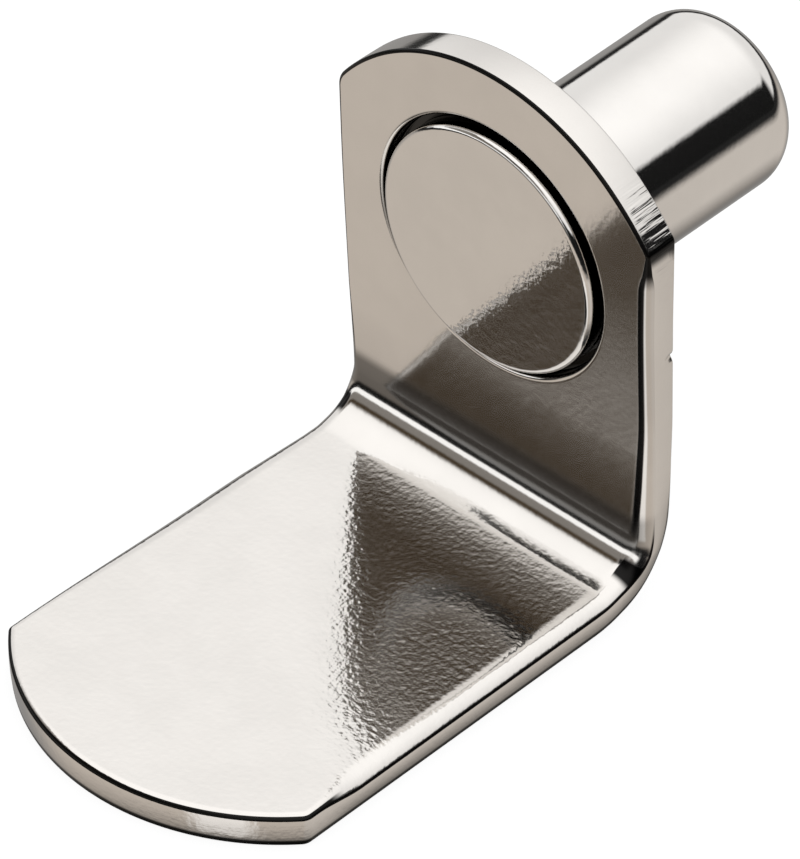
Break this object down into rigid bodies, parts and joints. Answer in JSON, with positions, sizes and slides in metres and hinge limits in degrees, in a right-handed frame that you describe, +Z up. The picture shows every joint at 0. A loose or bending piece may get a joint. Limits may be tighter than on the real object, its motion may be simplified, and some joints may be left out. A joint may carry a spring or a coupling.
{
  "type": "shelf support pin",
  "caption": "Folded steel bracket with a headed pin pressed through its upright plate: the pin plugs into a side panel's hole and the leg carries a shelf from below.",
  "frame": {"origin": "on the pin's axis at the back face of the upright plate, where the pin enters the side panel's hole", "axes": "+Y along the pin to its free end, into the side panel; +Z up; +X across the width. The leg reaches out along -Y below the pin, and its upper face carries the shelf."},
  "size_m": [0.0126, 0.029, 0.0176],
  "materials": {
    "bracket_plating": "nickel plated sheet steel, bright with a fine grain and softly rolled edges",
    "pin_plating": "nickel plated turned steel, bright and smooth"
  },
  "bodies": {
    "root": {"bracket": "bracket_plating", "pin": "pin_plating"}
  },
  "joints": []
}
